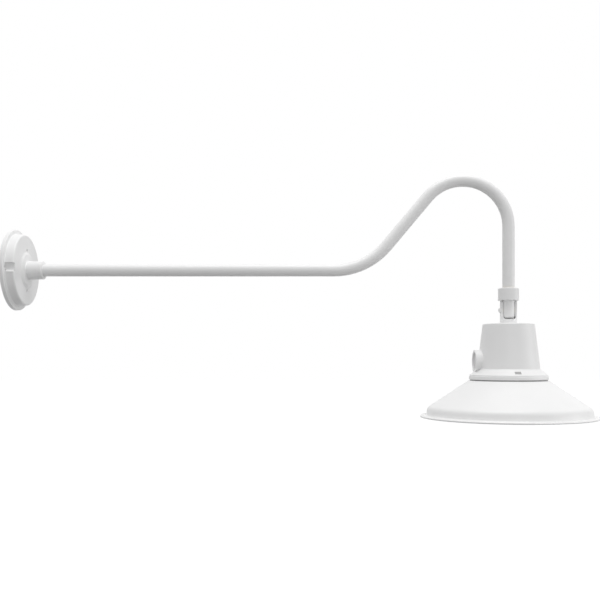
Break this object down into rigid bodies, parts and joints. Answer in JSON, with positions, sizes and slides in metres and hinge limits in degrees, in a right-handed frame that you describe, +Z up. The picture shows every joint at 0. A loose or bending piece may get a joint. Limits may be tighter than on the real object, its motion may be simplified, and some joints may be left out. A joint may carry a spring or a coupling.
{
  "type": "gooseneck wall sconce",
  "caption": "Gooseneck wall light: round wall plate, long arm that bends up and over, swivel and tilt knuckle, conical driver housing and wide angled dome shade.",
  "frame": {"origin": "centre of the wall plate's back face, on the arm's own axis", "axes": "+X out of the wall along the arm, +Z up, +Y to the left of someone who looks out from the wall"},
  "size_m": [1.017, 0.308, 0.4249],
  "materials": {
    "white_paint": "satin white powder coat on steel",
    "white_casting": "satin white powder coat on cast aluminium",
    "white_shade": "satin white powder coat on spun steel",
    "black_rubber": "matte black rubber",
    "grey_silicone": "matte grey silicone rubber",
    "zinc_steel": "bright zinc plate",
    "stainless": "plain stainless steel",
    "ground_green": "green dyed steel",
    "cable_sheath": "black cable insulation",
    "brass_thread": "turned brass",
    "nylon": "natural nylon",
    "grey_plastic": "light grey moulded plastic",
    "driver_case": "white moulded driver case",
    "board_aluminium": "white masked aluminium board",
    "phosphor": "yellow phosphor gel",
    "reflector_aluminium": "bright satin aluminium",
    "clear_glass": "clear tempered glass"
  },
  "bodies": {
    "arm": {"wall_plate": "white_casting", "wall_gasket": "black_rubber", "arm_locknut": "zinc_steel", "hub_set_screw": "stainless", "ground_screw": "ground_green", "arm_tube": "white_paint", "arm_cable": "cable_sheath", "arm_bushing": "brass_thread", "swivel_washer": "nylon"},
    "lock_collar": {"lock_collar": "white_casting"},
    "swivel": {"swivel_tongue": "white_paint", "swivel_o_ring": "black_rubber", "tilt_washers": "nylon"},
    "head": {"yoke": "white_paint", "pivot_bolt": "white_paint", "yoke_screws": "stainless", "housing": "white_casting", "port_plug": "grey_plastic", "port_plug_seal": "black_rubber", "led_driver": "driver_case", "driver_bracket": "zinc_steel", "driver_screws": "stainless", "head_leads": "cable_sheath", "led_leads": "cable_sheath", "heat_plate": "white_casting", "case_seal": "black_rubber", "case_screws": "stainless", "led_board": "board_aluminium", "led_emitter": "phosphor", "reflector": "reflector_aluminium", "lens": "clear_glass", "lens_gasket": "black_rubber", "lens_frame": "white_casting", "frame_screws": "stainless", "shade_gasket": "grey_silicone", "shade": "white_shade"}
  },
  "joints": [
    {"name": "collar_turn", "type": "hinge", "parent": "arm", "child": "lock_collar", "pos_m": [0.863, 0, -0.041], "axis": [0, 0, 1], "range_deg": [-90, 0]},
    {"name": "head_swivel", "type": "hinge", "parent": "arm", "child": "swivel", "pos_m": [0.863, 0, -0.0423], "axis": [0, 0, 1], "range_deg": [-170, 170]},
    {"name": "head_tilt", "type": "hinge", "parent": "swivel", "child": "head", "pos_m": [0.863, 0, -0.07], "axis": [1, 0, 0], "range_deg": [-45, 45]}
  ]
}
